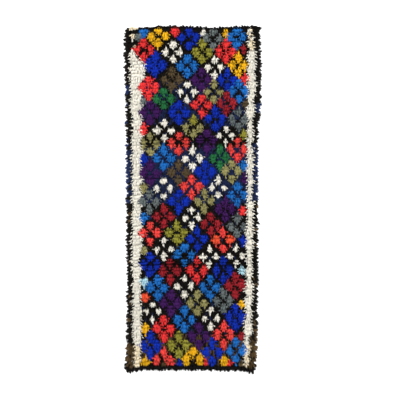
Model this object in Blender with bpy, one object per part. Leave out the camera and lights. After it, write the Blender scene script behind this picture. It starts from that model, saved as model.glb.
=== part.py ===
"""A knotted shag rug: a narrow runner with a deep wool pile, lying flat.

The rug is one piece. Its ground weave and pile are one slab, flat underneath, with a lumpy top where
the tufts bunch together. The tufts of the outermost knots hang over the rim as tapered locks, which
rest level with the underside. Metres, +Z up. +X is to the right and +Y towards the head end. The
origin is on the underside, at the middle of the rug's bounding box.
"""

import math
import random

import bmesh
import bpy
from mathutils import Vector

# How far the pile reaches from the rug's middle line, a row for each section down the rug. The sides
# were woven by eye, so they wander, and the foot end is drawn in on the right.
# down: distance from the head end; left, right: the pile's mean reach to each side
SIDES = (
    {"down": 0.00, "left": 0.470, "right": 0.468},
    {"down": 0.10, "left": 0.478, "right": 0.473},
    {"down": 0.25, "left": 0.474, "right": 0.478},
    {"down": 0.50, "left": 0.467, "right": 0.478},
    {"down": 0.70, "left": 0.462, "right": 0.458},
    {"down": 1.05, "left": 0.460, "right": 0.454},
    {"down": 1.50, "left": 0.458, "right": 0.456},
    {"down": 1.62, "left": 0.459, "right": 0.462},
    {"down": 1.90, "left": 0.455, "right": 0.454},
    {"down": 2.20, "left": 0.458, "right": 0.449},
    {"down": 2.40, "left": 0.476, "right": 0.438},
)

# How far the pile reaches past the nominal ends, a row for each section across the rug.
# across: distance from the middle line; head, foot: reach past each end
ENDS = (
    {"across": -0.46, "head": -0.006, "foot": 0.006},
    {"across": -0.34, "head": -0.003, "foot": -0.003},
    {"across": -0.17, "head": 0.007, "foot": -0.002},
    {"across": 0.00, "head": 0.000, "foot": 0.000},
    {"across": 0.17, "head": -0.006, "foot": 0.003},
    {"across": 0.34, "head": 0.004, "foot": 0.004},
    {"across": 0.46, "head": 0.004, "foot": 0.018},
)

LENGTH = 2.40
CLUMPS_ACROSS = 34
CLUMPS_ALONG = 88

# Heights of the pile: a low rim, a shoulder where it rises, and the lumps of the field.
RIM_HEIGHT = 0.009
SHOULDER_HEIGHT = 0.017
PILE_HEIGHT = 0.0215
LUMP_STEP = 0.0040
LUMP_SPREAD = 0.0032
LUMP_WANDER = 0.007

# Insets of the rim and of the shoulder from the pile's mean reach.
RIM_INSET = 0.013
SHOULDER_INSET = 0.025
CORNER_PULL = 0.009

# Locks at the rim: how far they stick out from it, and how they narrow towards their tips.
LOCK_SHORTEST = 0.009
LOCK_LONGEST = 0.025
LOCK_BEND_AT = 0.55
LOCK_BEND_WIDTH = 0.58
LOCK_BEND_HEIGHT = 0.0062
LOCK_TIP_HEIGHT = 0.0022
LOCK_SWAY = 0.008
LOCK_LEAN_TO_FOOT = 0.005
TO_FOOT = Vector((0.0, -1.0, 0.0))

WOOL_COLOUR = (0.028, 0.034, 0.085, 1.0)
WOOL_ROUGHNESS = 0.95
SEED = 24


def clear_scene():
    for old in list(bpy.data.objects):
        bpy.data.objects.remove(old, do_unlink=True)


def between(rows, key, where, column):
    """The value of a table's column at a place between two of its rows, on a smooth step."""
    if where <= rows[0][key]:
        return rows[0][column]
    for low, high in zip(rows, rows[1:]):
        if where <= high[key]:
            share = (where - low[key]) / (high[key] - low[key])
            smooth = share * share * (3 - 2 * share)
            return low[column] + smooth * (high[column] - low[column])
    return rows[-1][column]


def place(across, along, inset):
    """The point at a share of the rug's width and length, on the outline drawn in by inset.

    across runs from 0 at the left side to 1 at the right, along from 0 at the foot to 1 at the head.
    """
    down = (1 - along) * LENGTH
    left = between(SIDES, "down", down, "left") - inset
    right = between(SIDES, "down", down, "right") - inset
    x = -left + across * (left + right)
    head = LENGTH / 2 + between(ENDS, "across", x, "head") - inset
    foot = LENGTH / 2 + between(ENDS, "across", x, "foot") - inset
    y = -foot + along * (foot + head)
    if across in (0.0, 1.0) and along in (0.0, 1.0):
        x -= math.copysign(CORNER_PULL, x)
        y -= math.copysign(CORNER_PULL, y)
    return x, y


def pile_top(shape, across_layer, along_layer, chance):
    """The lumpy top, as a grid from shoulder to shoulder with a clump of tufts to each cell."""
    bmesh.ops.create_grid(shape, x_segments=CLUMPS_ACROSS, y_segments=CLUMPS_ALONG, size=0.5)
    for vert in shape.verts:
        column = round((vert.co.x + 0.5) * CLUMPS_ACROSS)
        row = round((vert.co.y + 0.5) * CLUMPS_ALONG)
        vert[across_layer] = column / CLUMPS_ACROSS
        vert[along_layer] = row / CLUMPS_ALONG
        x, y = place(vert[across_layer], vert[along_layer], SHOULDER_INSET)
        if vert.is_boundary:
            vert.co = Vector((x, y, SHOULDER_HEIGHT + chance.uniform(-1, 1) * LUMP_STEP))
            continue
        step = LUMP_STEP if (column + row) % 2 else -LUMP_STEP
        vert.co = Vector((
            x + chance.uniform(-1, 1) * LUMP_WANDER,
            y + chance.uniform(-1, 1) * LUMP_WANDER,
            PILE_HEIGHT + step + chance.uniform(-1, 1) * LUMP_SPREAD,
        ))


def step_out(shape, edges, across_layer, along_layer, inset, height):
    """Draws a ring of edges out to the outline at another inset and height, and returns the new ring
    and the faces between."""
    made = bmesh.ops.extrude_edge_only(shape, edges=edges)["geom"]
    for vert in (part for part in made if isinstance(part, bmesh.types.BMVert)):
        x, y = place(vert[across_layer], vert[along_layer], inset)
        vert.co = Vector((x, y, height))
    ring = [part for part in made if isinstance(part, bmesh.types.BMEdge) and part.is_boundary]
    faces = [part for part in made if isinstance(part, bmesh.types.BMFace)]
    return ring, faces


def turn_of(face):
    """Where a face of the rim stands, as an angle about the rug's middle."""
    middle = face.calc_center_median()
    return math.atan2(middle.y, middle.x)


def outward_of(face):
    """The level direction in which an upright face of the rim looks."""
    middle = face.calc_center_median()
    outward = Vector((face.normal.x, face.normal.y, 0.0)).normalized()
    return outward if outward.dot(Vector((middle.x, middle.y, 0.0))) > 0 else -outward


def grow_lock(shape, face, chance):
    """One lock of pile, drawn out of a face of the rim in two steps and ended in a point."""
    root = face.calc_center_median()
    outward = outward_of(face)
    aside = Vector((-outward.y, outward.x, 0.0))
    reach = chance.uniform(LOCK_SHORTEST, LOCK_LONGEST)
    lean = aside * chance.uniform(-1, 1) * LOCK_SWAY + TO_FOOT * abs(outward.x) * LOCK_LEAN_TO_FOOT

    bend = bmesh.ops.extrude_discrete_faces(shape, faces=[face])["faces"][0]
    for vert in bend.verts:
        off_middle = (vert.co - root).dot(aside)
        on_floor = vert.co.z < RIM_HEIGHT / 2
        vert.co += outward * (reach * LOCK_BEND_AT) + lean / 2
        vert.co -= aside * (off_middle * (1 - LOCK_BEND_WIDTH))
        vert.co.z = 0.0 if on_floor else LOCK_BEND_HEIGHT

    cap = bmesh.ops.extrude_discrete_faces(shape, faces=[bend])["faces"][0]
    tip = root + outward * reach + lean
    tip.z = LOCK_TIP_HEIGHT
    bmesh.ops.pointmerge(shape, verts=list(cap.verts), merge_co=tip)


def centre_on_origin(shape):
    """Moves the mesh level, so that its bounding box's middle is over the origin."""
    xs = [vert.co.x for vert in shape.verts]
    ys = [vert.co.y for vert in shape.verts]
    middle = Vector(((min(xs) + max(xs)) / 2, (min(ys) + max(ys)) / 2, 0.0))
    bmesh.ops.translate(shape, verts=shape.verts, vec=-middle)


def rug_mesh():
    chance = random.Random(SEED)
    shape = bmesh.new()
    across_layer = shape.verts.layers.float.new("across")
    along_layer = shape.verts.layers.float.new("along")
    pile_top(shape, across_layer, along_layer, chance)

    shoulder = [edge for edge in shape.edges if edge.is_boundary]
    rim, _ = step_out(shape, shoulder, across_layer, along_layer, RIM_INSET, RIM_HEIGHT)
    sole, wall = step_out(shape, rim, across_layer, along_layer, RIM_INSET, 0.0)
    bmesh.ops.contextual_create(shape, geom=sole)
    bmesh.ops.recalc_face_normals(shape, faces=shape.faces)
    for face in sorted(wall, key=turn_of):
        grow_lock(shape, face, chance)
    centre_on_origin(shape)

    mesh = bpy.data.meshes.new("rug")
    shape.to_mesh(mesh)
    shape.free()
    return mesh


def wool():
    material = bpy.data.materials.new("wool pile")
    material.use_nodes = True
    surface = material.node_tree.nodes["Principled BSDF"]
    surface.inputs["Base Color"].default_value = WOOL_COLOUR
    surface.inputs["Roughness"].default_value = WOOL_ROUGHNESS
    surface.inputs["Metallic"].default_value = 0.0
    return material


def main():
    clear_scene()
    rug = bpy.data.objects.new("rug", rug_mesh())
    rug.data.materials.append(wool())
    bpy.context.scene.collection.objects.link(rug)


main()
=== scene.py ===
"""The looks of a knotted shag runner: its ground weave, and the cut wool pile, strand by strand.

Everything is in metres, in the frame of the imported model: +X to the right, +Y towards the head end and
+Z up. The pattern is a chart in centimetres, across from the rug's left edge and down from its head.
"""

import math

import bpy
import numpy as np
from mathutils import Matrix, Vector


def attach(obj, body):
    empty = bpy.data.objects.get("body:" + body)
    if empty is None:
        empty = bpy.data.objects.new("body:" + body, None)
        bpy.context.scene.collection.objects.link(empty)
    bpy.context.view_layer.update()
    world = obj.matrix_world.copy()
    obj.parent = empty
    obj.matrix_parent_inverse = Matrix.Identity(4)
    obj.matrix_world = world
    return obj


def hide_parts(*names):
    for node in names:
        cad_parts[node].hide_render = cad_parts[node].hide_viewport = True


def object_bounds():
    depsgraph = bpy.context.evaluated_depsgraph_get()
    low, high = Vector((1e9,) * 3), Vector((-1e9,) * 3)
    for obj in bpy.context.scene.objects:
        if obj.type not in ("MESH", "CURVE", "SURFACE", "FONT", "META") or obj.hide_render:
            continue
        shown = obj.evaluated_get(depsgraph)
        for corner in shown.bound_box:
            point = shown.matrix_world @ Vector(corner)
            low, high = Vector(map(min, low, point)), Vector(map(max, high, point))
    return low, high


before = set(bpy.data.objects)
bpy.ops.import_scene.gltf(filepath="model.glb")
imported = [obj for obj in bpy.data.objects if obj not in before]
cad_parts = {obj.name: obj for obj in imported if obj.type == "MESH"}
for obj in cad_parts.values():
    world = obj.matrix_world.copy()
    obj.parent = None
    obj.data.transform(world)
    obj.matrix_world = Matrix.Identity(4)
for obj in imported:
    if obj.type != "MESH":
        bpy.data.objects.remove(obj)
cad_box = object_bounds()

SEED = 11
CM = 0.01

# Places on the chart are in cm, and angles in degrees. Other sizes are in metres, unless a comment says
# otherwise. Where a pair of numbers is left to chance, they are its least and its most.

# The chart's corner, from the left side and the head end of the rug's box, and the rug on the chart.
CHART_FROM_LEFT = 0.0096
CHART_FROM_HEAD = 0.0086
MIDDLE_LINE = 47.6
LENGTH = 240.0

# How far the pile reaches from the middle line, a row for each section down the rug. A program measured
# it on the photograph, and these are some of its readings, rounded. down, left, right: in cm
SIDES = (
    {"down": 0, "left": 47.0, "right": 46.8},
    {"down": 10, "left": 47.8, "right": 47.3},
    {"down": 25, "left": 47.4, "right": 47.8},
    {"down": 50, "left": 46.7, "right": 47.8},
    {"down": 70, "left": 46.2, "right": 45.8},
    {"down": 105, "left": 46.0, "right": 45.4},
    {"down": 150, "left": 45.8, "right": 45.6},
    {"down": 162, "left": 45.9, "right": 46.2},
    {"down": 190, "left": 45.5, "right": 45.4},
    {"down": 220, "left": 45.8, "right": 44.9},
    {"down": 240, "left": 47.6, "right": 43.8},
)

# How far the pile reaches past the ends of its length, a row for each section across the rug, measured
# likewise, but for the corners. across: from the middle line; head, foot: past each end; in cm
ENDS = (
    {"across": -46, "head": -0.6, "foot": 1.5},
    {"across": -39, "head": -0.5, "foot": 1.0},
    {"across": -34, "head": -0.3, "foot": -0.3},
    {"across": -17, "head": 0.7, "foot": -0.2},
    {"across": 0, "head": 0.0, "foot": 0.0},
    {"across": 17, "head": -0.6, "foot": 0.3},
    {"across": 34, "head": 0.4, "foot": 0.4},
    {"across": 39, "head": 0.4, "foot": 1.7},
    {"across": 46, "head": 0.4, "foot": 2.4},
)

# The ground weave ends short of the pile, which hangs over its edges, by these insets in cm. Its
# thickness takes in the lowest part of the pile, where the tufts are packed into one mass.
WEAVE_INSET_SIDE = 1.1
WEAVE_INSET_HEAD = 0.85
WEAVE_INSET_FOOT = 0.3
WEAVE_THICKNESS = 0.0045
WEAVE_RIB = 0.0005
ROOT_LUMP = 0.0010
ROOT_HEIGHT = 0.0025

# How much of a yarn's colour is left on the weave's top between the roots of the pile, darkened as
# painted shade, and what share of that a crease takes, as more painted shade in the parted pile.
WEAVE_TOP_PAINTED_SHADE = 0.6
UNDYED_WEAVE_TOP_PAINTED_SHADE = 0.85
CREASE_PAINTED_SHADE = 0.85

# Knots are tied in even rows, but the last two are beaten together. One more row is tied round the head
# edge. Rows wander singly and sway together. All this is in pitches of the rows, but the sway is in cm.
KNOT_ROWS = 110
TUFT_ROWS = KNOT_ROWS + 1
HALF_ROWS = 2 * KNOT_ROWS
HEAD_ROW_AT = 0.05
FOOT_ROW_SHIFT = 0.45
KNOTS_ACROSS = 94
ROW_WANDER = 0.2
ROW_SWAY = 0.3

# How wide the lumps are, in cm, in which rows sway, tones differ, tufts turn, creases part the pile and
# the pile stands up.
SWAY_LUMP = 9
TONE_LUMP = 14
TURN_LUMP = 6
CREASE_LUMP = 5
PILE_LUMP = 6.5

# A tuft's tone beside its yarn's colour, how far it differs by lozenge, by lump and by tuft, and the
# share of that by which the undyed differ.
TONE = 1.03
TONE_BY_LOZENGE = 0.05
TONE_BY_LUMP = 0.05
TONE_BY_TUFT = 0.1
UNDYED_DIFFER = 0.4

# How far a tuft turns aside from straight down the rug, by lump and again by tuft.
TUFT_TURN = 8.0

# The tufts at the ends of a run of one yarn splay sideways into teeth: the bright ones most, and those
# at the top of a shape least. A share of their strands splays, cut to a share of the length.
BRIGHT_SPLAY = 62.0
DARK_SPLAY = 20.0
SPLAY_VARIES = (0.8, 1.15)
SPLAY_AT_TOP = 0.35
SPLAYED_SHARE = 0.5
SPLAYED_REACH = 0.88

# A tuft's reach is its length beside a middling one's. A bright one at the foot of a shape is pressed
# back, and so is a dark one beside another yarn.
BRIGHT_REACH_AT_FOOT = 0.86
DARK_REACH_BESIDE = 0.78

# The three outermost tufts of a row turn outwards, the third a little. Those that turn past a limit hang
# over the rim, where a row's tufts turn together and reach alike. They are made lighter, the left more,
# and that extra on the left is painted light.
OUTWARD_TURNS = (80.0, 58.0, 10.0)
HANGS_PAST = 40.0
RIM_ROW_TURN = 11.0
RIM_TUFT_TURN = 5.0
RIM_ROW_REACH = (0.66, 1.1)
RIM_LIGHTENED = (1.85, 1.6)

# The first row falls back over the head end, and the last lies on the floor. Their tufts lean together
# in pairs, and a pair turns and reaches as one.
PAIR_LEAN = 11.0
HEAD_PAIR_TURN = 20.0
FOOT_PAIR_TURN = 14.0
HEAD_REACH = 0.38
HEAD_PAIR_REACH = (0.5, 1.6)
FOOT_PAIR_REACH = (0.62, 1.0)

# A tuft that hangs over an edge has more strands. A share of them fills the gap beside the next tuft,
# shorter than the rest, and at the head stands forward over the next row.
STRANDS_A_KNOT = 8
EXTRA_AT_EDGE = 10
FILLING_SHARE = 0.4
FILLING_REACH = 0.72
FORWARD_REACH = 1.3
MOST_STRANDS_A_PIECE = 19000

# Such a tuft fans out to a blunt tooth, longest in its middle, and fans less at an end of the rug.
FAN = 15.0
FAN_AT_END = 0.5
TOOTH_MIDDLE = 1.05
SHORTER_BY_DEGREE = 0.022
TOOTH_LIMITS = (0.45, 1.0)

# How far a strand's root is from its knot, aside and down the rug, in cm. Filling strands are set more
# widely down the rug, and those of the head row and splayed ones more closely. A crease draws roots in.
ROOTS_ASIDE = 0.5
ROOTS_DOWN = 0.7
WIDE_ROOTS_DOWN = 1.15
CLOSE_ROOTS_DOWN = 0.3
CREASE_DRAWS_IN = 0.45

# How steeply a strand rises at its root and falls at its tip, above level. Those that hang over an edge
# start lower and dive. Lumps of the pile lift strands, dark ones rise less, and a crease lifts tips.
RISES = (46, 78)
FALLS = (-12, 16)
HANGING_RISES = (26, 52)
HANGING_FALLS = (-58, -34)
LUMP_LIFTS = 6
DARK_SINKS = 8
CREASE_LIFTS = 35

# A tuft's strands draw together by a share, towards a point at this share of their length. The splayed
# and those at an end of the rug draw together fully.
DRAWN_TOGETHER = 0.35
DRAWN_TO = 0.8

# A strand of cut yarn: rings up its length, the sizes of a middling one, and how they vary.
# rise: share of the length above the ring before; width: beside the ring before
STRAND_SIDES = 3
STRAND_RINGS = (
    {"rise": 0.55, "width": 1.45},
    {"rise": 0.45, "width": 0.10},
)
STRAND_ROOT_WIDTH = 0.75
STRAND_LENGTH = 0.034
STRAND_RADIUS = 0.0025
LENGTH_VARIES = (0.88, 1.1)
LONGER_ON_LUMP = 0.1
RADIUS_VARIES = (0.82, 1.18)
TONE_VARIES = (0.94, 1.06)
STRAND_TURN = 5.0
STRAND_CURL = 10.0

# A strand bends in small steps, more near its root, and its middle rests on the floor at this share of
# its radius.
BEND_STEPS = 6
BEND_POWER = 0.8
RESTS_AT = 0.9
FLOOR_CLEAR = 0.0004

# How far below its root a strand's visible part lies, as it droops towards the foot, in cm.
DROOP = 1.3

# A strand's own map runs around it and up it, from 0 to 1. The face at its root has a small patch below
# its sides. A turn is a hair over 1, so that a corner on the seam stays at 1. For baking, each strand has a
# cell with a margin, taller than wide by this factor.
MAP_TURN = 1.0001
MAP_SIDES_FROM = 0.12
MAP_ROOT_MIDDLE = np.array((0.5, 0.05))
MAP_ROOT_SPREAD = np.array((0.3, 0.04))
CELL_MARGIN = 0.06
CELL_TALLER = 2.5

# How far apart wefts and pairs of warps stand, and the scale that gives a wave texture a band a metre.
WEFT_SPACING = 0.0036
WARP_PAIR_SPACING = 0.0096
WAVE_A_METRE = 0.1 * math.pi

# Noise to the metre: patches 3.8 mm wide in heathered yarn, and slubs of 5.6 mm in the weft. Fibres are
# too fine to show, so they are drawn 1 mm wide and 10 mm long: so many go round a strand and along it.
HEATHER_A_METRE = 260.0
SLUBS_A_METRE = 180.0
FIBRES_AROUND = 16.0
FIBRES_ALONG = 4.0

# How far the dye took unevenly, and how light a strand is at its root, where its colour is darkened
# as painted shade deep in the pile.
DYED_UNEVEN = 0.12
UNDYED_UNEVEN = 0.04
DYED_ROOT_PAINTED_SHADE = 0.5
UNDYED_ROOT_PAINTED_SHADE = 0.9

# The yarns, in sRGB.
YARNS = {
    "black": "181614",
    "navy": "202A4A",
    "brown_edge": "50402A",
    "ivory": "E8E4D8",
    "cream": "ECDEC0",
    "yellow": "F0B820",
    "royal": "1634B0",
    "sky": "2470C0",
    "red": "E83C3C",
    "rose": "EC4A44",
    "orange": "EC5838",
    "wine": "A02830",
    "olive": "949038",
    "khaki": "9A9460",
    "purple": "44205C",
    "green": "2C7444",
    "grey": "6C7474",
    "brown": "5C4E38",
    "aqua": "B8E0EC",
}

# Lozenges of these yarns are fuller than their chart, or less full. The others keep to it.
FULLNESS = {
    "ivory": 0.85, "yellow": 1.05, "royal": 1.05, "sky": 1.05,
    "red": 1.05, "purple": 1.05, "green": 1.05, "brown": 1.05,
}
YARN_NAMES = tuple(YARNS)
DARK_YARNS = ("black", "navy", "brown_edge")
UNDYED_YARNS = ("ivory", "cream")
UNDYED_WEFT = "6B5F52"

# The diamonds, a line for each row of the lattice: yarn, cm across, cm down to the middle, size beside
# the others. A middle is a program's mean of four readings, and a size was judged.
DIAMONDS = (
    ("yellow", 23.5, 7.5, 1), ("royal", 45, 8.5, 1), ("grey", 62, 9, 1), ("sky", 78.5, 8, 1.05),
    ("red", 13.5, 17, 1), ("ivory", 34, 18, 1), ("olive", 54.5, 18, 1.05), ("red", 71, 18, 1),
    ("royal", 21.5, 27, 1.15), ("sky", 44, 28, 1.05), ("ivory", 63, 29, 1), ("yellow", 79.5, 27.5, 1),
    ("brown", 33, 37.5, 1.05), ("purple", 54, 37.5, 1.05), ("royal", 72, 37.5, 1),
    ("red", 17, 43, 1.05), ("ivory", 44, 46.5, 0.9), ("khaki", 62.5, 46, 0.95), ("sky", 80, 45.5, 1),
    ("green", 27.5, 51, 1), ("red", 54, 55.5, 1), ("wine", 71.5, 54, 1),
    ("purple", 18, 60.5, 1.05), ("royal", 38, 60.5, 1.05), ("royal", 63.5, 65, 1.05), ("grey", 79.5, 65.5, 1),
    ("ivory", 28, 73, 1), ("khaki", 48, 71, 1), ("ivory", 71, 77, 0.9),
    ("khaki", 18, 82.5, 1), ("rose", 38, 82, 1), ("purple", 57.5, 80.5, 1), ("rose", 79, 86.5, 1),
    ("sky", 27.5, 92.5, 1), ("ivory", 47.5, 92.5, 1), ("green", 66.5, 92, 1),
    ("purple", 18, 103, 1.05), ("brown", 38, 102.5, 1), ("royal", 56.5, 102, 1.05), ("khaki", 75, 101.5, 1),
    ("ivory", 27.5, 113.5, 0.9), ("rose", 47, 112, 1), ("ivory", 65.5, 113, 0.9),
    ("grey", 17.5, 123, 1), ("royal", 38, 122.5, 1), ("khaki", 56, 122.5, 1), ("sky", 79, 118, 1),
    ("wine", 27.5, 133, 1), ("ivory", 47, 134, 0.9), ("purple", 70.5, 128, 1),
    ("rose", 18, 144.5, 1), ("olive", 36.5, 144.5, 1.05), ("wine", 60.5, 138.5, 1), ("grey", 79, 140, 1),
    ("ivory", 27.5, 156, 0.9), ("royal", 51, 149, 0.95), ("rose", 69, 150, 1),
    ("royal", 18, 167, 1), ("sky", 42, 160, 1), ("ivory", 59.5, 161.5, 0.9), ("ivory", 78, 161, 0.9),
    ("wine", 32, 171.5, 1), ("red", 51, 171, 1), ("royal", 69, 171, 1),
    ("sky", 23, 183, 1), ("ivory", 42, 182, 0.9), ("sky", 60, 182.5, 1), ("wine", 77.5, 181.5, 1.05),
    ("purple", 32.5, 193.5, 1.05), ("khaki", 51, 193.5, 1), ("grey", 69, 192, 1),
    ("sky", 42, 205, 1), ("ivory", 60.5, 204.5, 0.9), ("royal", 77.5, 203.5, 1),
    ("red", 27.5, 211.5, 1), ("purple", 52, 216.5, 1), ("rose", 69.5, 216, 1),
    ("royal", 18, 223.5, 1.05), ("olive", 38, 223, 1), ("royal", 61.5, 228, 1), ("sky", 78, 227, 0.95),
    ("rose", 27.5, 234.5, 1), ("yellow", 48, 233.5, 1),
)

# Where the border or an end cuts a diamond, only one of its lozenges is knotted, or one is in
# another yarn: yarn, cm across, cm down to the lozenge's middle, size beside the other lozenges.
LONE_LOZENGES = (
    ("sky", 13.5, 4, 1.15), ("red", 35.5, 3.5, 1.05), ("ivory", 55, 5, 0.8), ("yellow", 71, 5, 0.8),
    ("grey", 10, 7.5, 0.8), ("wine", 83.5, 16.5, 0.9), ("red", 84, 37, 1), ("grey", 13.5, 53, 0.9),
    ("brown", 84.5, 54.5, 0.9), ("red", 13.5, 72, 1.05), ("olive", 48, 65.5, 1), ("olive", 83.5, 76.5, 1),
    ("royal", 13.5, 93, 1), ("sky", 83.5, 97.5, 1), ("purple", 84, 107, 1), ("khaki", 13.5, 113, 1),
    ("sky", 13.5, 134, 1), ("red", 83, 129.5, 1.05), ("khaki", 13.5, 157, 0.95), ("royal", 83, 150.5, 1),
    ("orange", 64, 149.5, 1.05), ("orange", 74, 149.5, 1.05), ("aqua", 82, 171, 0.95),
    ("aqua", 14, 179, 1.05), ("orange", 14.5, 189.5, 1.05), ("yellow", 82, 194, 0.85),
    ("ivory", 20, 194.5, 0.75), ("ivory", 15.5, 199, 0.75), ("ivory", 23.5, 199.5, 0.75),
    ("ivory", 19.5, 205, 0.75), ("yellow", 14.5, 211.5, 0.95), ("wine", 82, 216.5, 0.95),
    ("yellow", 14.5, 235.5, 1.05), ("royal", 38.5, 235.5, 0.65), ("red", 57, 237, 0.75),
    ("yellow", 69.5, 234.5, 0.95), ("red", 73.5, 236.5, 0.75), ("brown", 82, 236, 0.7),
)

# A diamond's lozenges are a step above, beside and below its middle. The steps differ over the rug,
# as the weaver's count and beat did, and across they are a program's means of the same readings. None is
# begun past the last place. half: the step, in cm
SPREAD_ACROSS = (
    {"across": 18, "half": 4.7},
    {"across": 37, "half": 5.0},
    {"across": 60, "half": 4.55},
    {"across": 78, "half": 4.35},
)
SPREAD_DOWN = (
    {"down": 10, "half": 5.0},
    {"down": 90, "half": 5.2},
    {"down": 190, "half": 5.4},
    {"down": 220, "half": 6.0},
)
LOZENGE_STEPS = ((0, -1), (-1, 0), (1, 0), (0, 1))
LAST_LOZENGE_AT = 238.5

# A lozenge's half sizes, as shares of those steps, how rounded it is, with 1 for straight sides, and how
# ragged its outline is.
LOZENGE_WIDE = 0.56
LOZENGE_TALL = 0.78
LOZENGE_ROUNDING = 1.1
LOZENGE_RAGGED = 0.12

# The ivory bands keep clear of the diamonds beside them, by these half sizes in cm, and further from
# ivory ones. They keep clear of a lone lozenge by so many times its size. A band is nowhere cut down
# to less than its least width.
DIAMOND_HALF_WIDTH = 8.3
DIAMOND_HALF_HEIGHT = 10.4
IVORY_CLEARANCE = 1.2
LONE_CLEARANCE = 1.3
BAND_LEAST = 2.2

# The ivory bands down both sides. out, in: their edges, in cm across, read where they turn. The
# diamonds cut into them. A band's tufts splay over its neighbours, so its edges stand in a little.
LEFT_BAND = (
    {"down": 4.5, "out": 6.5, "in": 4.5},
    {"down": 5, "out": 5.0, "in": 7.0},
    {"down": 8, "out": 5.0, "in": 6.5},
    {"down": 17, "out": 5.5, "in": 7.0},
    {"down": 19, "out": 4.0, "in": 13.0},
    {"down": 30, "out": 4.0, "in": 14.5},
    {"down": 37, "out": 4.5, "in": 14.5},
    {"down": 41, "out": 5.0, "in": 11.5},
    {"down": 60, "out": 5.5, "in": 12.0},
    {"down": 100, "out": 6.0, "in": 12.0},
    {"down": 150, "out": 6.0, "in": 12.0},
    {"down": 165, "out": 6.0, "in": 10.5},
    {"down": 215, "out": 6.5, "in": 12.0},
    {"down": 222, "out": 6.5, "in": 11.5},
    {"down": 226, "out": 8.0, "in": 11.0},
    {"down": 232, "out": 7.0, "in": 11.0},
    {"down": 240, "out": 7.0, "in": 10.5},
)
RIGHT_BAND = (
    {"down": 16, "out": 89.0, "in": 87.0},
    {"down": 19, "out": 90.5, "in": 86.0},
    {"down": 34, "out": 91.0, "in": 85.5},
    {"down": 52, "out": 90.5, "in": 86.0},
    {"down": 75, "out": 89.5, "in": 86.0},
    {"down": 100, "out": 89.5, "in": 86.0},
    {"down": 125, "out": 89.0, "in": 85.5},
    {"down": 190, "out": 89.0, "in": 85.0},
    {"down": 205, "out": 88.5, "in": 84.5},
    {"down": 225, "out": 87.0, "in": 84.0},
    {"down": 240, "out": 86.5, "in": 83.0},
)

# How far a band's edge steps in or out from row to row.
BAND_JAG = 0.9

# The first row and the last two are black, but for a short cream stretch of the first, in cm across.
BLACK_ROWS = [0, -2, -1]
HEAD_PATCH = (3.6, 9.4)

# Yarns down the rug. to: where a stretch ends, in cm down; mixed: share of a second yarn, if it has one
BANDS = (
    {"to": 17, "yarn": "cream", "second": "ivory", "mixed": 0.2},
    {"to": 223, "yarn": "ivory"},
    {"to": 250, "yarn": "cream", "second": "ivory", "mixed": 0.1},
)
GROUND = (
    {"to": 38, "yarn": "black"},
    {"to": 69, "yarn": "black", "second": "navy", "mixed": 0.45},
    {"to": 85, "yarn": "black", "second": "navy", "mixed": 0.05},
    {"to": 124, "yarn": "navy", "second": "black", "mixed": 0.1},
    {"to": 215, "yarn": "black", "second": "navy", "mixed": 0.05},
    {"to": 237, "yarn": "black", "second": "brown_edge", "mixed": 0.45},
    {"to": 250, "yarn": "black"},
)
LEFT_RIM = (
    {"to": 39, "yarn": "black"},
    {"to": 49, "yarn": "black", "second": "navy", "mixed": 0.6},
    {"to": 87, "yarn": "black", "second": "navy", "mixed": 0.05},
    {"to": 125, "yarn": "navy", "second": "black", "mixed": 0.15},
    {"to": 203, "yarn": "black", "second": "brown_edge", "mixed": 0.03},
    {"to": 223, "yarn": "black", "second": "brown_edge", "mixed": 0.2},
    {"to": 238, "yarn": "brown_edge", "second": "black", "mixed": 0.1},
    {"to": 250, "yarn": "black", "second": "brown_edge", "mixed": 0.1},
)
RIGHT_RIM = (
    {"to": 55, "yarn": "black"},
    {"to": 62, "yarn": "navy", "second": "black", "mixed": 0.3},
    {"to": 84, "yarn": "black"},
    {"to": 122, "yarn": "navy", "second": "black", "mixed": 0.15},
    {"to": 206, "yarn": "black", "second": "brown_edge", "mixed": 0.03},
    {"to": 222, "yarn": "black", "second": "brown_edge", "mixed": 0.4},
    {"to": 238, "yarn": "brown_edge", "second": "black", "mixed": 0.15},
    {"to": 250, "yarn": "black", "second": "brown_edge", "mixed": 0.1},
)

# The rug was kept folded in three. Along the creases the pile is parted, and its rows stand open.
# down, half_width: in cm, the first measured by a program; depth: how far the pile is parted, 1 for fully
CREASES = (
    {"down": 80.2, "half_width": 3.0, "depth": 0.95},
    {"down": 158.4, "half_width": 1.3, "depth": 0.6},
    {"down": 166.4, "half_width": 3.8, "depth": 1.3},
)
DEEPEST = 1.1

# The ground between lozenges and the undyed yarns part less, by these shares, and each stretch of a
# crease parts by more or less. A parted tuft loses so much of its length.
GROUND_PARTS = 0.75
UNDYED_PARTS = 0.8
PARTS_ABOUT = 0.8
PARTS_UNEVENLY = 0.35
CREASE_SHORTENS = 0.42

# The studio: pale paper, two broad lamps above it and a pale sky. watts: a lamp's power
PAPER = "F2F2F2"
PAPER_WIDTH = 30.0
PAPER_BELOW = 0.0005
LAMPS = (
    {"name": "key", "place": (-2.4, 3.0, 4.6), "watts": 330.0},
    {"name": "fill", "place": (3.0, -2.6, 4.2), "watts": 185.0},
)
LAMP_WIDTH = 3.5
SKY_STRENGTH = 0.85

# The photographed frame: what it spans, and where its middle lies, on a lens and sensor in mm.
FRAME_SPAN = 2.8
FRAME_MIDDLE = (0.0504, -0.006)
LENS = 85.0
SENSOR = 36.0


def linear(hexed):
    """An sRGB hex colour as a linear red, green, blue and alpha."""
    parts = [int(hexed[i:i + 2], 16) / 255 for i in (0, 2, 4)]
    curved = [p / 12.92 if p <= 0.04045 else ((p + 0.055) / 1.055) ** 2.4 for p in parts]
    return (*curved, 1.0)


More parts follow.
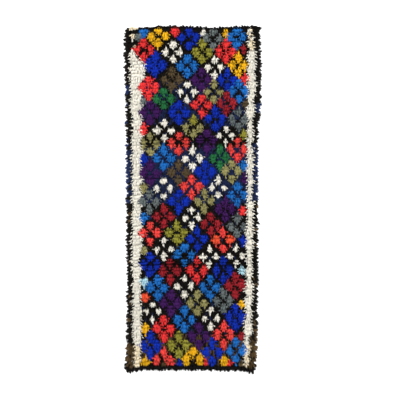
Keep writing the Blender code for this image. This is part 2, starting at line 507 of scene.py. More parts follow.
def add_node(tree, kind, inputs=(), **settings):
    """Adds a node. inputs gives each socket a value, or the socket that feeds it."""
    made = tree.nodes.new(kind)
    for name, value in settings.items():
        setattr(made, name, value)
    for socket, value in dict(inputs).items():
        if isinstance(value, bpy.types.NodeSocket):
            tree.links.new(value, made.inputs[socket])
        else:
            made.inputs[socket].default_value = value
    return made


def column(rows, name):
    return [row[name] for row in rows]


def read_table(rows, key, where, name):
    """A column of a table, read between its rows."""
    return np.interp(where, column(rows, key), column(rows, name))


def on_weave(across_share, down_share):
    """A place on the ground weave, from shares of its width and length, in cm on the chart."""
    down = down_share * LENGTH
    left = read_table(SIDES, "down", down, "left") - WEAVE_INSET_SIDE
    right = read_table(SIDES, "down", down, "right") - WEAVE_INSET_SIDE
    from_middle = -left + across_share * (left + right)
    head = read_table(ENDS, "across", from_middle, "head") - WEAVE_INSET_HEAD
    foot = read_table(ENDS, "across", from_middle, "foot") - WEAVE_INSET_FOOT
    return MIDDLE_LINE + from_middle, -head + down_share * (LENGTH + head + foot)


def to_metres(across, down):
    """A place on the chart, in metres."""
    low, high = cad_box
    return low[0] + CHART_FROM_LEFT + across * CM, high[1] - CHART_FROM_HEAD - down * CM


def soft_noise(across, down, cell, chance):
    """Smooth random numbers from -1 to 1 over the chart, in lumps about a cell wide."""
    margin = 2
    spots_down = int(LENGTH / cell) + 3 * margin
    spots_across = int(2 * MIDDLE_LINE / cell) + 3 * margin
    spots = chance.uniform(-1, 1, (spots_down, spots_across))
    u = np.clip(across / cell + margin, 0, spots_across - margin)
    v = np.clip(down / cell + margin, 0, spots_down - margin)
    i, j = v.astype(int), u.astype(int)
    fv, fu = v - i, u - j
    fv, fu = fv * fv * (3 - 2 * fv), fu * fu * (3 - 2 * fu)
    upper = spots[i, j] * (1 - fu) + spots[i, j + 1] * fu
    lower = spots[i + 1, j] * (1 - fu) + spots[i + 1, j + 1] * fu
    return upper * (1 - fv) + lower * fv


def yarn_down(rows, down, chance):
    """The yarn at each place down the rug, in random mixture where a stretch has two."""
    stretch = np.searchsorted(column(rows, "to"), np.minimum(down, LENGTH))
    first = np.array([YARN_NAMES.index(row["yarn"]) for row in rows])[stretch]
    second = np.array([YARN_NAMES.index(row.get("second", row["yarn"])) for row in rows])[stretch]
    mixed = np.array([row.get("mixed", 0.0) for row in rows])[stretch]
    return np.where(chance.random(down.shape) < mixed, second, first)


def lozenge_table():
    """Every lozenge: yarn number, middle across and down, half width and half height, in cm."""
    rows = []
    for yarn, across, down, size in DIAMONDS:
        aside = read_table(SPREAD_ACROSS, "across", across, "half")
        below = read_table(SPREAD_DOWN, "down", down, "half")
        for step_across, step_down in LOZENGE_STEPS:
            middle_down = down + step_down * below
            if middle_down < LAST_LOZENGE_AT:
                rows.append((yarn, across + step_across * aside, middle_down, size))
    in_diamonds = len(rows)
    yarns, across, down, sizes = (np.array(part) for part in zip(*rows, *LONE_LOZENGES))
    full = sizes * [FULLNESS.get(yarn, 1.0) for yarn in yarns]
    return {
        "yarn": np.array([YARN_NAMES.index(yarn) for yarn in yarns]),
        "across": across,
        "down": down,
        "half_width": LOZENGE_WIDE * read_table(SPREAD_ACROSS, "across", across, "half") * full,
        "half_height": LOZENGE_TALL * read_table(SPREAD_DOWN, "down", down, "half") * full,
        "lone": np.arange(len(yarns)) >= in_diamonds,
    }


def off_middle(across, down, lozenges, number):
    """How far places are from a lozenge's middle, in its half widths and its half heights."""
    return (abs(across - lozenges["across"][number]) / lozenges["half_width"][number],
            abs(down - lozenges["down"][number]) / lozenges["half_height"][number])


def clearance(across, down, lozenges):
    """How clear places are of the diamonds and lone lozenges. Past 1, an ivory band may be there."""
    clear = np.full(across.shape, np.inf)
    for name, middle, below, _ in DIAMONDS:
        off = abs(across - middle) / DIAMOND_HALF_WIDTH + abs(down - below) / DIAMOND_HALF_HEIGHT
        clear = np.minimum(clear, off / (IVORY_CLEARANCE if name == "ivory" else 1.0))
    for number in np.flatnonzero(lozenges["lone"]):
        aside, below = off_middle(across, down, lozenges, number)
        clear = np.minimum(clear, (aside + below) / LONE_CLEARANCE)
    return clear


def lozenge_at(across, down, lozenges, chance):
    """The number of the lozenge that each knot is in, or -1. A lone one goes before the others."""
    nearest = np.full(across.shape, np.inf)
    which = np.full(across.shape, -1)
    for number, lone in enumerate(lozenges["lone"]):
        aside, below = off_middle(across, down, lozenges, number)
        off = aside ** LOZENGE_ROUNDING + below ** LOZENGE_ROUNDING
        off = np.where(off < 1, off - lone, off)
        closer = off < nearest
        nearest[closer] = off[closer]
        which[closer] = number
    ragged = 1 + chance.uniform(-LOZENGE_RAGGED, LOZENGE_RAGGED, across.shape)
    which[nearest > ragged] = -1
    return which


def chart(across, down, chance):
    """The yarn of every knot, and a number for the lozenge that it is in, or -1."""
    yarn = yarn_down(GROUND, down, chance)
    edges = ((LEFT_BAND, "out"), (LEFT_BAND, "in"), (RIGHT_BAND, "in"), (RIGHT_BAND, "out"))
    row_jag = chance.uniform(-BAND_JAG, BAND_JAG, (len(edges), down.shape[0], 1))
    left_out, left_in, right_in, right_out = (
        read_table(band, "down", down, edge) + jag for (band, edge), jag in zip(edges, row_jag))
    lozenges = lozenge_table()
    spared = ((across < np.minimum(left_in, left_out + BAND_LEAST))
              | (across > np.maximum(right_in, right_out - BAND_LEAST)))
    beside_field = (across < left_in) | (across > right_in)
    in_band = spared | (beside_field & (clearance(across, down, lozenges) > 1))
    yarn[in_band] = yarn_down(BANDS, down, chance)[in_band]

    which = lozenge_at(across, down, lozenges, chance)
    in_lozenge = which >= 0
    yarn[in_lozenge] = lozenges["yarn"][which[in_lozenge]]

    outside_left, outside_right = across < left_out, across > right_out
    yarn[outside_left] = yarn_down(LEFT_RIM, down, chance)[outside_left]
    yarn[outside_right] = yarn_down(RIGHT_RIM, down, chance)[outside_right]
    yarn[BLACK_ROWS] = YARN_NAMES.index("black")
    yarn[0, (across[0] > HEAD_PATCH[0]) & (across[0] < HEAD_PATCH[1])] = YARN_NAMES.index("cream")
    which[outside_left | outside_right] = -1
    which[BLACK_ROWS] = -1
    return yarn, which


def one_of(yarn, names):
    """Where the yarn is one of those named."""
    return np.isin(yarn, [YARN_NAMES.index(name) for name in names])


def differs(yarn, rows, columns):
    """Where the knot a step or two away, in rows and columns, isn't of the same yarn. All dark yarns
    count as one, and so do the undyed."""
    kind = np.select([one_of(yarn, DARK_YARNS), one_of(yarn, UNDYED_YARNS)], [-1, -2], yarn)
    farthest = 2
    padded = np.pad(kind, farthest, mode="edge")
    top, left = farthest + rows, farthest + columns
    return kind != padded[top:top + kind.shape[0], left:left + kind.shape[1]]


def knot_places(chance):
    """Where every knot is tied, across and down, as arrays of rows by places across."""
    rows = np.arange(TUFT_ROWS) - 0.5 + chance.uniform(-ROW_WANDER, ROW_WANDER, TUFT_ROWS)
    rows[0] = HEAD_ROW_AT
    rows[-2] += FOOT_ROW_SHIFT
    places = (np.arange(KNOTS_ACROSS) + 0.5) / KNOTS_ACROSS
    down_share, across_share = np.meshgrid(rows / KNOT_ROWS, places, indexing="ij")
    across, down = on_weave(across_share, down_share)
    down[1:] += ROW_SWAY * soft_noise(across, down, SWAY_LUMP, chance)[1:]
    return across, down


def tuft_tones(across, down, yarn, lozenge, chance):
    """How light every tuft is beside its yarn's colour."""
    most_lozenges = len(DIAMONDS) * len(LOZENGE_STEPS) + len(LONE_LOZENGES)
    by_lozenge = TONE_BY_LOZENGE * chance.uniform(-1, 1, most_lozenges + 1)[lozenge]
    by_lump = TONE_BY_LUMP * soft_noise(across, down, TONE_LUMP, chance)
    by_tuft = chance.uniform(-TONE_BY_TUFT, TONE_BY_TUFT, across.shape)
    share = np.where(one_of(yarn, UNDYED_YARNS), UNDYED_DIFFER, 1.0)
    return TONE + (by_lozenge + by_lump + by_tuft) * share


def tuft_lie(across, down, yarn, bright, chance):
    """How far every tuft's strands may splay, how far the tuft turns, and its reach."""
    ends_right, ends_left = differs(yarn, 0, 1), differs(yarn, 0, -1)
    splay = np.where(bright, BRIGHT_SPLAY, DARK_SPLAY) * chance.uniform(*SPLAY_VARIES, across.shape)
    at_top = differs(yarn, -1, 0) & np.where(ends_right, differs(yarn, -1, -2), differs(yarn, -1, 2))
    splay = (splay * ends_right - splay * ends_left) * np.where(at_top, SPLAY_AT_TOP, 1.0)
    by_lump = TUFT_TURN * soft_noise(across, down, TURN_LUMP, chance)
    turn = by_lump + chance.normal(0, TUFT_TURN, across.shape)
    reach = np.where(bright & differs(yarn, 1, 0), BRIGHT_REACH_AT_FOOT, 1.0)
    reach = np.where(~bright & (ends_right | ends_left), DARK_REACH_BESIDE, reach)
    return splay, turn, reach


def parting(across, down, yarn, lozenge, chance):
    """How far the creases part and press down every tuft: 0 where there is none."""
    seen_down = down + DROOP
    parted = sum(crease["depth"] * np.exp(-((seen_down - crease["down"]) / crease["half_width"]) ** 2)
                 for crease in CREASES)
    parted = parted * np.where(lozenge < 0, GROUND_PARTS, 1.0)
    parted = parted * (PARTS_ABOUT + PARTS_UNEVENLY * soft_noise(across, down, CREASE_LUMP, chance))
    undyed = one_of(yarn, UNDYED_YARNS)
    return np.minimum(parted * np.where(undyed, UNDYED_PARTS, 1.0), DEEPEST)


def turn_over_rim(turn, reach, chance):
    """Turns the outermost tufts outwards, and returns which hang over the left side and the right."""
    outwards = np.zeros(turn.shape)
    for step, degrees in enumerate(OUTWARD_TURNS):
        outwards[:, step] = -degrees
        outwards[:, -1 - step] = degrees
    over_left, over_right = outwards < -HANGS_PAST, outwards > HANGS_PAST
    row_turn = chance.normal(0, RIM_ROW_TURN, (2, TUFT_ROWS, 1))
    side_turn = np.where(over_left, row_turn[0], row_turn[1])
    hanging_turn = outwards + side_turn + chance.normal(0, RIM_TUFT_TURN, turn.shape)
    row_reach = chance.uniform(*RIM_ROW_REACH, (2, TUFT_ROWS, 1))
    turn = np.where(over_left | over_right, hanging_turn, turn + outwards)
    reach = np.select([over_left, over_right], row_reach, reach)
    return turn, reach, over_left, over_right


def turn_over_ends(turn, reach, chance):
    """Lays the first row back over the head end and the last on the floor, in leaning pairs."""
    pairs = KNOTS_ACROSS // 2
    lean = np.tile((PAIR_LEAN, -PAIR_LEAN), pairs)
    turn[0] = 180 + np.repeat(chance.normal(0, HEAD_PAIR_TURN, pairs), 2) - lean
    turn[-1] = np.repeat(chance.normal(0, FOOT_PAIR_TURN, pairs), 2) + lean
    reach[0] = HEAD_REACH * np.repeat(chance.uniform(*HEAD_PAIR_REACH, pairs), 2)
    reach[-1] = np.repeat(chance.uniform(*FOOT_PAIR_REACH, pairs), 2)


def knots(chance):
    """All knots, as arrays of rows by places across: place, yarn, tone, and how the tuft lies."""
    across, down = knot_places(chance)
    yarn, lozenge = chart(across, down + DROOP, chance)
    bright = ~one_of(yarn, DARK_YARNS)
    tone = tuft_tones(across, down, yarn, lozenge, chance)
    splay, turn, reach = tuft_lie(across, down, yarn, bright, chance)
    parted = parting(across, down, yarn, lozenge, chance)
    reach = reach * (1 - CREASE_SHORTENS * parted)
    turn, reach, over_left, over_right = turn_over_rim(turn, reach, chance)
    turn_over_ends(turn, reach, chance)

    at_head, at_foot = np.zeros((2, *across.shape), bool)
    at_head[0] = True
    at_foot[-1] = True
    hangs = over_left | over_right | at_head | at_foot
    return {
        "across": across, "down": down, "yarn": yarn, "bright": bright,
        # Hanging tufts are made lighter, the left more; that extra on the left is painted light.
        "tone": tone * np.select([over_left, over_right], RIM_LIGHTENED, 1.0),
        "splay": np.where(hangs, 0.0, splay),
        "turn": turn, "reach": reach, "parted": parted,
        "lump": soft_noise(across, down, PILE_LUMP, chance),
        "hangs": hangs, "at_head": at_head, "at_an_end": at_head | at_foot,
    }


def strands(tufts, chance):
    """The strands of all knots, as arrays: root, length, radius, and how each rises and bends."""
    strands_of = STRANDS_A_KNOT + EXTRA_AT_EDGE * tufts["hangs"].ravel()
    count = strands_of.sum()
    each = {name: np.repeat(grid.ravel(), strands_of) for name, grid in tufts.items()}
    aside = chance.uniform(-ROOTS_ASIDE, ROOTS_ASIDE, count)
    splays = (each["splay"] != 0) & (chance.random(count) < SPLAYED_SHARE)
    fills = each["hangs"] & (chance.random(count) < FILLING_SHARE)
    forward = fills & each["at_head"]
    lies = each["hangs"] & ~forward
    down_spread = np.select([each["at_head"], fills, splays],
                            [CLOSE_ROOTS_DOWN, WIDE_ROOTS_DOWN, CLOSE_ROOTS_DOWN],
                            ROOTS_DOWN - CREASE_DRAWS_IN * each["parted"])
    below = chance.uniform(-1, 1, count) * down_spread
    x, y = to_metres(each["across"] + aside, each["down"] + below)
    length = STRAND_LENGTH * each["reach"] * (1 + LONGER_ON_LUMP * each["lump"])
    length = length * chance.uniform(*LENGTH_VARIES, count)
    length = length * np.select([forward, fills, splays], [FORWARD_REACH, FILLING_REACH, SPLAYED_REACH], 1.0)

    fan = np.where(lies, chance.normal(0, FAN, count), 0.0) * np.where(each["at_an_end"], FAN_AT_END, 1.0)
    length = length * np.clip(TOOTH_MIDDLE - SHORTER_BY_DEGREE * abs(fan), *TOOTH_LIMITS)
    lifted = LUMP_LIFTS * each["lump"]
    rises = chance.uniform(*RISES, count) + lifted - np.where(each["bright"], 0, DARK_SINKS)
    falls = chance.uniform(*FALLS, count) + lifted + CREASE_LIFTS * each["parted"]

    turn = np.radians(each["turn"] - 180 * forward + fan + each["splay"] * splays)
    off_axis = (aside * np.cos(turn) - below * np.sin(turn)) * CM
    drawn = np.where(splays | each["at_an_end"], 1.0, DRAWN_TOGETHER)
    turn = turn - drawn * np.arctan2(off_axis, DRAWN_TO * length)
    return {
        "x": x, "y": y, "yarn": each["yarn"],
        "length": length,
        "radius": STRAND_RADIUS * chance.uniform(*RADIUS_VARIES, count),
        "turn": turn + np.radians(chance.normal(0, STRAND_TURN, count)),
        "curl": np.radians(chance.normal(0, STRAND_CURL, count)),
        "rises": np.radians(np.where(lies, chance.uniform(*HANGING_RISES, count), rises)),
        "falls": np.radians(np.where(lies, chance.uniform(*HANGING_FALLS, count), falls)),
        "roll": chance.uniform(0, 2 * math.pi, count),
        "tone": each["tone"] * chance.uniform(*TONE_VARIES, count),
    }


def deselect_all():
    for thing in bpy.context.selected_objects:
        thing.select_set(False)


def strand_model():
    """One strand of yarn, a unit long and about a unit in radius, modelled once. Returns its points,
    the points of its corners, where its faces start, and its corners' places around and along it."""
    deselect_all()
    bpy.ops.mesh.primitive_circle_add(vertices=STRAND_SIDES, radius=STRAND_ROOT_WIDTH, fill_type="NGON")
    strand = bpy.context.object
    bpy.ops.object.mode_set(mode="EDIT")
    bpy.ops.mesh.select_all(action="SELECT")
    for ring in STRAND_RINGS:
        bpy.ops.mesh.extrude_region_move(TRANSFORM_OT_translate={"value": (0, 0, ring["rise"])})
        bpy.ops.transform.resize(value=(ring["width"], ring["width"], 1))
    bpy.ops.mesh.merge(type="CENTER")
    bpy.ops.mesh.select_all(action="SELECT")
    bpy.ops.mesh.normals_make_consistent(inside=False)
    bpy.ops.object.mode_set(mode="OBJECT")

    mesh = strand.data
    model = {
        "points": np.array([vert.co for vert in mesh.vertices]),
        "corners": np.array([loop.vertex_index for loop in mesh.loops]),
        "starts": np.array([face.loop_start for face in mesh.polygons]),
        "places": np.zeros((len(mesh.loops), 2)),
    }
    for face in mesh.polygons:
        lay_out_face(model, face)
    bpy.data.objects.remove(strand)
    return model


def lay_out_face(model, face):
    """Gives a face of the strand its place on the strand's own map."""
    points, places = model["points"][model["corners"]], model["places"]
    middle = math.atan2(face.center.y, face.center.x)
    faces_down = face.normal.z < -0.9
    for corner in face.loop_indices:
        x, y, z = points[corner]
        if faces_down:
            places[corner] = MAP_ROOT_MIDDLE + MAP_ROOT_SPREAD * (x, y)
            continue
        at_tip = math.hypot(x, y) < 1e-6
        from_middle = (math.atan2(y, x) - middle + math.pi) % (2 * math.pi) - math.pi
        around = (middle + (0.0 if at_tip else from_middle)) / (2 * math.pi)
        places[corner] = around % MAP_TURN, MAP_SIDES_FROM + (1 - MAP_SIDES_FROM) * z

    # A face across the map's seam runs on past its right edge.
    across = places[face.loop_indices, 0]
    if across.max() - across.min() > 0.5:
        places[face.loop_indices, 0] = np.where(across < 0.5, across + 1.0, across)


def direction(picked, at):
    """Where each strand heads at a share of its length, as unit vectors. Turn 0 is to the foot."""
    heading = picked["turn"] + picked["curl"] * at
    climb = picked["rises"] + (picked["falls"] - picked["rises"]) * at ** BEND_POWER
    level = np.cos(climb)
    return np.stack([np.sin(heading) * level, -np.cos(heading) * level, np.sin(climb)], axis=1)


def bent_points(model, picked):
    """Every point of every strand, bent along its own fall."""
    levels, level_of = np.unique(np.round(model["points"][:, 2], 4), return_inverse=True)
    count = len(picked["x"])
    lowest = RESTS_AT * picked["radius"] + FLOOR_CLEAR
    centre = np.stack([picked["x"], picked["y"], np.full(count, ROOT_HEIGHT)], axis=1)
    centres, sides, ups = [], [], []
    reached = 0.0
    for level in levels:
        for step in range(BEND_STEPS if level > 0 else 0):
            at = reached + (level - reached) * (step + 0.5) / BEND_STEPS
            stride = picked["length"] * (level - reached) / BEND_STEPS
            centre = centre + direction(picked, at) * stride[:, None]
        reached = level
        held = centre.copy()
        held[:, 2] = np.maximum(held[:, 2], lowest)
        if level > 0:
            centre = held
        ahead = direction(picked, level)
        heading = picked["turn"] + picked["curl"] * level
        side = np.stack([np.cos(heading), np.sin(heading), np.zeros(count)], axis=1)
        centres.append(held)
        sides.append(side)
        ups.append(np.cross(ahead, side))
    centres, sides, ups = (np.stack(part, axis=1)[:, level_of] for part in (centres, sides, ups))
    local = model["points"]
    cosine, sine = np.cos(picked["roll"])[:, None], np.sin(picked["roll"])[:, None]
    aside = (local[:, 0] * cosine - local[:, 1] * sine) * picked["radius"][:, None]
    above = (local[:, 0] * sine + local[:, 1] * cosine) * picked["radius"][:, None]
    points = centres + sides * aside[..., None] + ups * above[..., None]
    points[..., 2] = np.maximum(points[..., 2], FLOOR_CLEAR / 2)
    return points


def bake_places(model, count):
    """The places of all corners of so many strands on the bake map, where each strand has a cell."""
    cells_across = math.ceil(math.sqrt(CELL_TALLER * count))
    cells_up = math.ceil(count / cells_across)
    cell = np.stack([np.arange(count) % cells_across, np.arange(count) // cells_across], axis=1)[:, None]
    places = model["places"]
    inner = CELL_MARGIN + (1 - 2 * CELL_MARGIN) * places / places.max(axis=0)
    return (cell + inner) / (cells_across, cells_up)


def yarn_places(model, picked):
    """The places of all corners around and along their strands, where 1 up is a middling length."""
    around, up = model["places"][:, 0], model["places"][:, 1]
    lengths = picked["length"][:, None] / STRAND_LENGTH
    return np.stack([np.broadcast_to(around, (len(lengths), len(around))), up * lengths], axis=2)


def joined_copies(name, model, picked):
    """One mesh of many strands."""
    points = bent_points(model, picked)
    count, per_strand = points.shape[:2]
    corners = (model["corners"] + per_strand * np.arange(count)[:, None]).ravel()
    starts = (model["starts"] + len(model["corners"]) * np.arange(count)[:, None]).ravel()
    mesh = bpy.data.meshes.new(name)
    mesh.vertices.add(count * per_strand)
    mesh.vertices.foreach_set("co", points.ravel())
    mesh.loops.add(len(corners))
    mesh.loops.foreach_set("vertex_index", corners.astype(np.int32))
    mesh.polygons.add(len(starts))
    mesh.polygons.foreach_set("loop_start", starts.astype(np.int32))
    mesh.update(calc_edges=True)

    for map_name, places in (("OFBake", bake_places(model, count)), ("Yarn", yarn_places(model, picked))):
        mesh.uv_layers.new(name=map_name).uv.foreach_set("vector", places.astype(np.float32).ravel())
    tone = mesh.attributes.new("tone", "FLOAT", "POINT")
    tone.data.foreach_set("value", np.repeat(picked["tone"], per_strand).astype(np.float32))
    mesh.shade_smooth()
    piece = bpy.data.objects.new(name, mesh)
    bpy.context.scene.collection.objects.link(piece)
    return piece


def pile(tufts, chance):
    """The pile, a piece for each yarn. A yarn with too many strands for one piece makes several."""
    model = strand_model()
    every = strands(tufts, chance)
    pieces = []
    for number, yarn in enumerate(YARN_NAMES):
        chosen = np.flatnonzero(every["yarn"] == number)
        if not len(chosen):
            continue
        parts = math.ceil(len(chosen) / MOST_STRANDS_A_PIECE)
        material = dyed_wool(yarn)
        for part, share in enumerate(np.array_split(chosen, parts), start=1):
            name = f"pile_{yarn}" if parts == 1 else f"pile_{yarn}_{part}"
            picked = {column_name: values[share] for column_name, values in every.items()}
            piece = joined_copies(name, model, picked)
            piece.data.materials.append(material)
            pieces.append(piece)
    return pieces


def read_all(items, name, width):
    """A number or vector of every item of a mesh, as an array of rows."""
    flat = np.zeros(len(items) * width)
    items.foreach_get(name, flat)
    return flat.reshape(-1, width)


def flat_weave():
    """The weave's underside with its ribs, given its thickness upwards."""
    deselect_all()
    bpy.ops.mesh.primitive_grid_add(x_subdivisions=KNOTS_ACROSS, y_subdivisions=HALF_ROWS, size=1.0)
    weave = bpy.context.object
    weave.name = "ground_weave"
    mesh = weave.data
    square = read_all(mesh.vertices, "co", 3)
    across_share, down_share = square[:, 0] + 0.5, 0.5 - square[:, 1]
    x, y = to_metres(*on_weave(across_share, down_share))
    line = np.round(down_share * HALF_ROWS).astype(int)
    mesh.vertices.foreach_set("co", np.stack([x, y, WEAVE_RIB * (line % 2)], axis=1).ravel())
    for name, shares in (("across_share", across_share), ("down_share", down_share)):
        mesh.attributes.new(name, "FLOAT", "POINT").data.foreach_set("value", shares.astype(np.float32))
    mesh.update()

    thicken = weave.modifiers.new("thickness", "SOLIDIFY")
    thicken.thickness = WEAVE_THICKNESS - WEAVE_RIB
    thicken.offset = 1.0
    bpy.context.view_layer.objects.active = weave
    bpy.ops.object.modifier_apply(modifier=thicken.name)
    return weave


def ground_weave(tufts, chance):
    """The weave that the knots are tied on: ribbed underneath, where each knot's back shows in its own yarn
    between lines of undyed weft. Its top shows each knot's yarn darkened, as painted shade deep in the pile,
    and darker still in a crease."""
    weave = flat_weave()
    mesh = weave.data
    points = read_all(mesh.vertices, "co", 3)
    on_top = points[:, 2] > WEAVE_THICKNESS / 2
    corners = read_all(mesh.loops, "vertex_index", 1).astype(int).reshape(-1, 4)
    across = read_all(mesh.attributes["across_share"].data, "value", 1)[corners].mean(axis=1)[:, 0]
    down = read_all(mesh.attributes["down_share"].data, "value", 1)[corners].mean(axis=1)[:, 0]
    place_across = np.minimum((across * KNOTS_ACROSS).astype(int), KNOTS_ACROSS - 1)
    half_row = np.minimum((down * HALF_ROWS).astype(int), HALF_ROWS - 1)
    row = 1 + half_row // 2
    yarn, parted = tufts["yarn"][row, place_across], tufts["parted"][row, place_across]

    colours = np.array([linear(hexed) for hexed in YARNS.values()])[yarn]
    face_on_top, face_below = on_top[corners].all(axis=1), ~on_top[corners].any(axis=1)
    # Painted shade: the weave's top is darkened between the roots, and more in a crease.
    weave_top_shade = np.where(one_of(yarn, UNDYED_YARNS), UNDYED_WEAVE_TOP_PAINTED_SHADE, WEAVE_TOP_PAINTED_SHADE)
    weave_top_shade = weave_top_shade * (1 - CREASE_PAINTED_SHADE * parted)
    colours[face_on_top, :3] *= weave_top_shade[face_on_top, None]
    colours[face_below & (half_row % 2 == 1)] = linear(UNDYED_WEFT)
    yarns_and_shade = mesh.color_attributes.new("knot_backs_and_root_shade", "FLOAT_COLOR", "CORNER")
    yarns_and_shade.data.foreach_set("color", np.repeat(colours, 4, axis=0).ravel())

    points[on_top, 2] += chance.uniform(-ROOT_LUMP, ROOT_LUMP, on_top.sum())
    mesh.vertices.foreach_set("co", points.ravel())
    mesh.update()
    mesh.materials.append(plain_weave())
    return weave


def new_material(name, roughness, specular):
    """A material of a roughness and a specular level, with its node tree and its shader."""
    material = bpy.data.materials.new(name)
    material.use_nodes = True
    surface = material.node_tree.nodes["Principled BSDF"]
    surface.inputs["Roughness"].default_value = roughness
    surface.inputs["Specular IOR Level"].default_value = specular
    return material, material.node_tree, surface


def dyed_wool(yarn):
    """Hand-spun wool, dyed in the hank but for the ivory and the cream, and cut to a shag. It is matt and
    deep, with fibres that show as fine relief along each strand, roots darkened as painted shade, and a dye
    that took unevenly."""
    undyed = yarn in UNDYED_YARNS
    uneven = UNDYED_UNEVEN if undyed else DYED_UNEVEN
    root_painted_shade = UNDYED_ROOT_PAINTED_SHADE if undyed else DYED_ROOT_PAINTED_SHADE
    name = f"{'undyed' if undyed else 'dyed'} wool {yarn.replace('_', ' ')}"
    material, tree, surface = new_material(name, roughness=0.92, specular=0.04)
    tone = add_node(tree, "ShaderNodeAttribute", attribute_name="tone")
    place = add_node(tree, "ShaderNodeTexCoord")
    heather = add_node(tree, "ShaderNodeTexNoise", {
        "Vector": place.outputs["Object"], "Scale": HEATHER_A_METRE, "Detail": 3.0})
    patchy = add_node(tree, "ShaderNodeMapRange", {
        "Value": heather.outputs["Fac"], "From Min": 0.25, "From Max": 0.75,
        "To Min": 1 - uneven, "To Max": 1 + uneven})
    shade = add_node(tree, "ShaderNodeMath", {
        0: tone.outputs["Fac"], 1: patchy.outputs["Result"]}, operation="MULTIPLY")
    along = add_node(tree, "ShaderNodeUVMap", uv_map="Yarn")
    height = add_node(tree, "ShaderNodeSeparateXYZ", {"Vector": along.outputs["UV"]})
    # Painted shade: each strand's colour darkens towards its root, deep in the pile.
    shaded_to_root = add_node(tree, "ShaderNodeMapRange", {
        "Value": height.outputs["Y"], "From Min": 0.25, "From Max": 0.75,
        "To Min": root_painted_shade, "To Max": 1.03}, interpolation_type="SMOOTHSTEP")
    both = add_node(tree, "ShaderNodeMath", {
        0: shade.outputs[0], 1: shaded_to_root.outputs["Result"]}, operation="MULTIPLY")
    dyed = add_node(tree, "ShaderNodeVectorMath", {
        0: linear(YARNS[yarn])[:3], "Scale": both.outputs[0]}, operation="SCALE")
    tree.links.new(dyed.outputs["Vector"], surface.inputs["Base Color"])

    drawn_out = add_node(tree, "ShaderNodeMapping", {
        "Vector": along.outputs["UV"], "Scale": (1.0, FIBRES_ALONG / FIBRES_AROUND, 1.0)})
    fibres = add_node(tree, "ShaderNodeTexNoise", {
        "Vector": drawn_out.outputs["Vector"], "Scale": FIBRES_AROUND, "Detail": 2.0})
    relief = add_node(tree, "ShaderNodeBump", {
        "Height": fibres.outputs["Fac"], "Strength": 0.8, "Distance": 0.0015})
    tree.links.new(relief.outputs["Normal"], surface.inputs["Normal"])
    return material


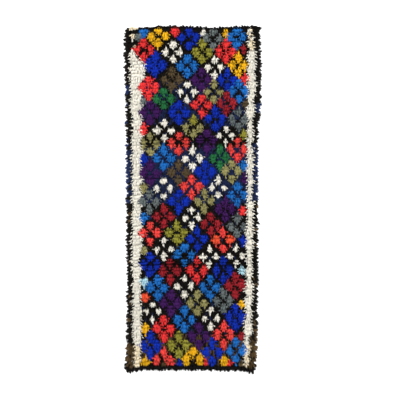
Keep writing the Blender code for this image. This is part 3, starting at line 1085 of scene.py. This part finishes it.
def plain_weave():
    """Hard-spun wool weft packed over a cotton warp. It is matt, with a fine rib across the rug, and the
    backs of the knots stand in it as short dashes of their own yarns. Its colour is darker in the grooves of
    the rib, as painted shade."""
    material, tree, surface = new_material("woven wool ground", roughness=0.95, specular=0.05)
    yarns_and_shade = add_node(tree, "ShaderNodeAttribute", attribute_name="knot_backs_and_root_shade")
    place = add_node(tree, "ShaderNodeTexCoord")
    slubs = add_node(tree, "ShaderNodeTexNoise", {
        "Vector": place.outputs["Object"], "Scale": SLUBS_A_METRE, "Detail": 2.0})
    shade = add_node(tree, "ShaderNodeMapRange", {
        "Value": slubs.outputs["Fac"], "To Min": 0.7, "To Max": 1.2})
    wefts = add_node(tree, "ShaderNodeTexWave", {
        "Vector": place.outputs["Object"], "Scale": WAVE_A_METRE / WEFT_SPACING,
        "Distortion": 1.0}, bands_direction="Y")
    warps = add_node(tree, "ShaderNodeTexWave", {
        "Vector": place.outputs["Object"], "Scale": WAVE_A_METRE / WARP_PAIR_SPACING,
        "Distortion": 0.6}, bands_direction="X")
    crossed = add_node(tree, "ShaderNodeMath", {
        0: wefts.outputs["Fac"], 1: warps.outputs["Fac"]}, operation="MULTIPLY")
    # Painted shade: the colour darkens in the grooves of the rib, where the relief is low.
    grooves = add_node(tree, "ShaderNodeMapRange", {
        "Value": crossed.outputs[0], "From Max": 0.5, "To Min": 0.62, "To Max": 1.05})
    slubs_and_groove_shade = add_node(tree, "ShaderNodeMath", {
        0: shade.outputs["Result"], 1: grooves.outputs["Result"]}, operation="MULTIPLY")
    dyed = add_node(tree, "ShaderNodeVectorMath", {
        0: yarns_and_shade.outputs["Color"], "Scale": slubs_and_groove_shade.outputs[0]}, operation="SCALE")
    tree.links.new(dyed.outputs["Vector"], surface.inputs["Base Color"])
    relief = add_node(tree, "ShaderNodeBump", {
        "Height": crossed.outputs[0], "Strength": 0.6, "Distance": 0.0008})
    tree.links.new(relief.outputs["Normal"], surface.inputs["Normal"])
    return material


def studio_paper():
    """Uncoated paper off a wide roll. It is pale and fully matt, so that it shows soft shadows alone."""
    material, _, surface = new_material("matt paper floor", roughness=1.0, specular=0.5)
    surface.inputs["Base Color"].default_value = linear(PAPER)
    return material


def floor_and_light():
    """A plain pale floor, two broad soft lamps and a pale sky."""
    deselect_all()
    bpy.ops.mesh.primitive_plane_add(size=PAPER_WIDTH, location=(0, 0, -PAPER_BELOW))
    floor = bpy.context.object
    floor.name = "floor"
    floor.data.materials.append(studio_paper())
    for row in LAMPS:
        lamp = bpy.data.lights.new(row["name"], "AREA")
        lamp.shape = "DISK"
        lamp.size = LAMP_WIDTH
        lamp.energy = row["watts"]
        holder = bpy.data.objects.new(row["name"], lamp)
        holder.location = row["place"]
        toward_rug = -holder.location
        holder.rotation_euler = toward_rug.to_track_quat("-Z", "Y").to_euler()
        bpy.context.scene.collection.objects.link(holder)
    world = bpy.data.worlds.new("studio")
    world.use_nodes = True
    sky = world.node_tree.nodes["Background"]
    sky.inputs["Color"].default_value = (1.0, 1.0, 1.0, 1.0)
    sky.inputs["Strength"].default_value = SKY_STRENGTH
    bpy.context.scene.world = world
    bpy.context.scene.view_settings.view_transform = "Standard"


def camera():
    """Straight down over the rug, head end up."""
    lens = bpy.data.cameras.new("camera")
    lens.lens = LENS
    lens.sensor_width = SENSOR
    eye = bpy.data.objects.new("camera", lens)
    eye.location = (*FRAME_MIDDLE, FRAME_SPAN * LENS / SENSOR)
    bpy.context.scene.collection.objects.link(eye)
    bpy.context.scene.camera = eye


def main():
    chance = np.random.default_rng(SEED)
    tufts = knots(chance)
    weave = ground_weave(tufts, chance)
    tufted = pile(tufts, chance)
    for piece in (weave, *tufted):
        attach(piece, "root")
    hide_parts("rug")
    floor_and_light()
    camera()


main()
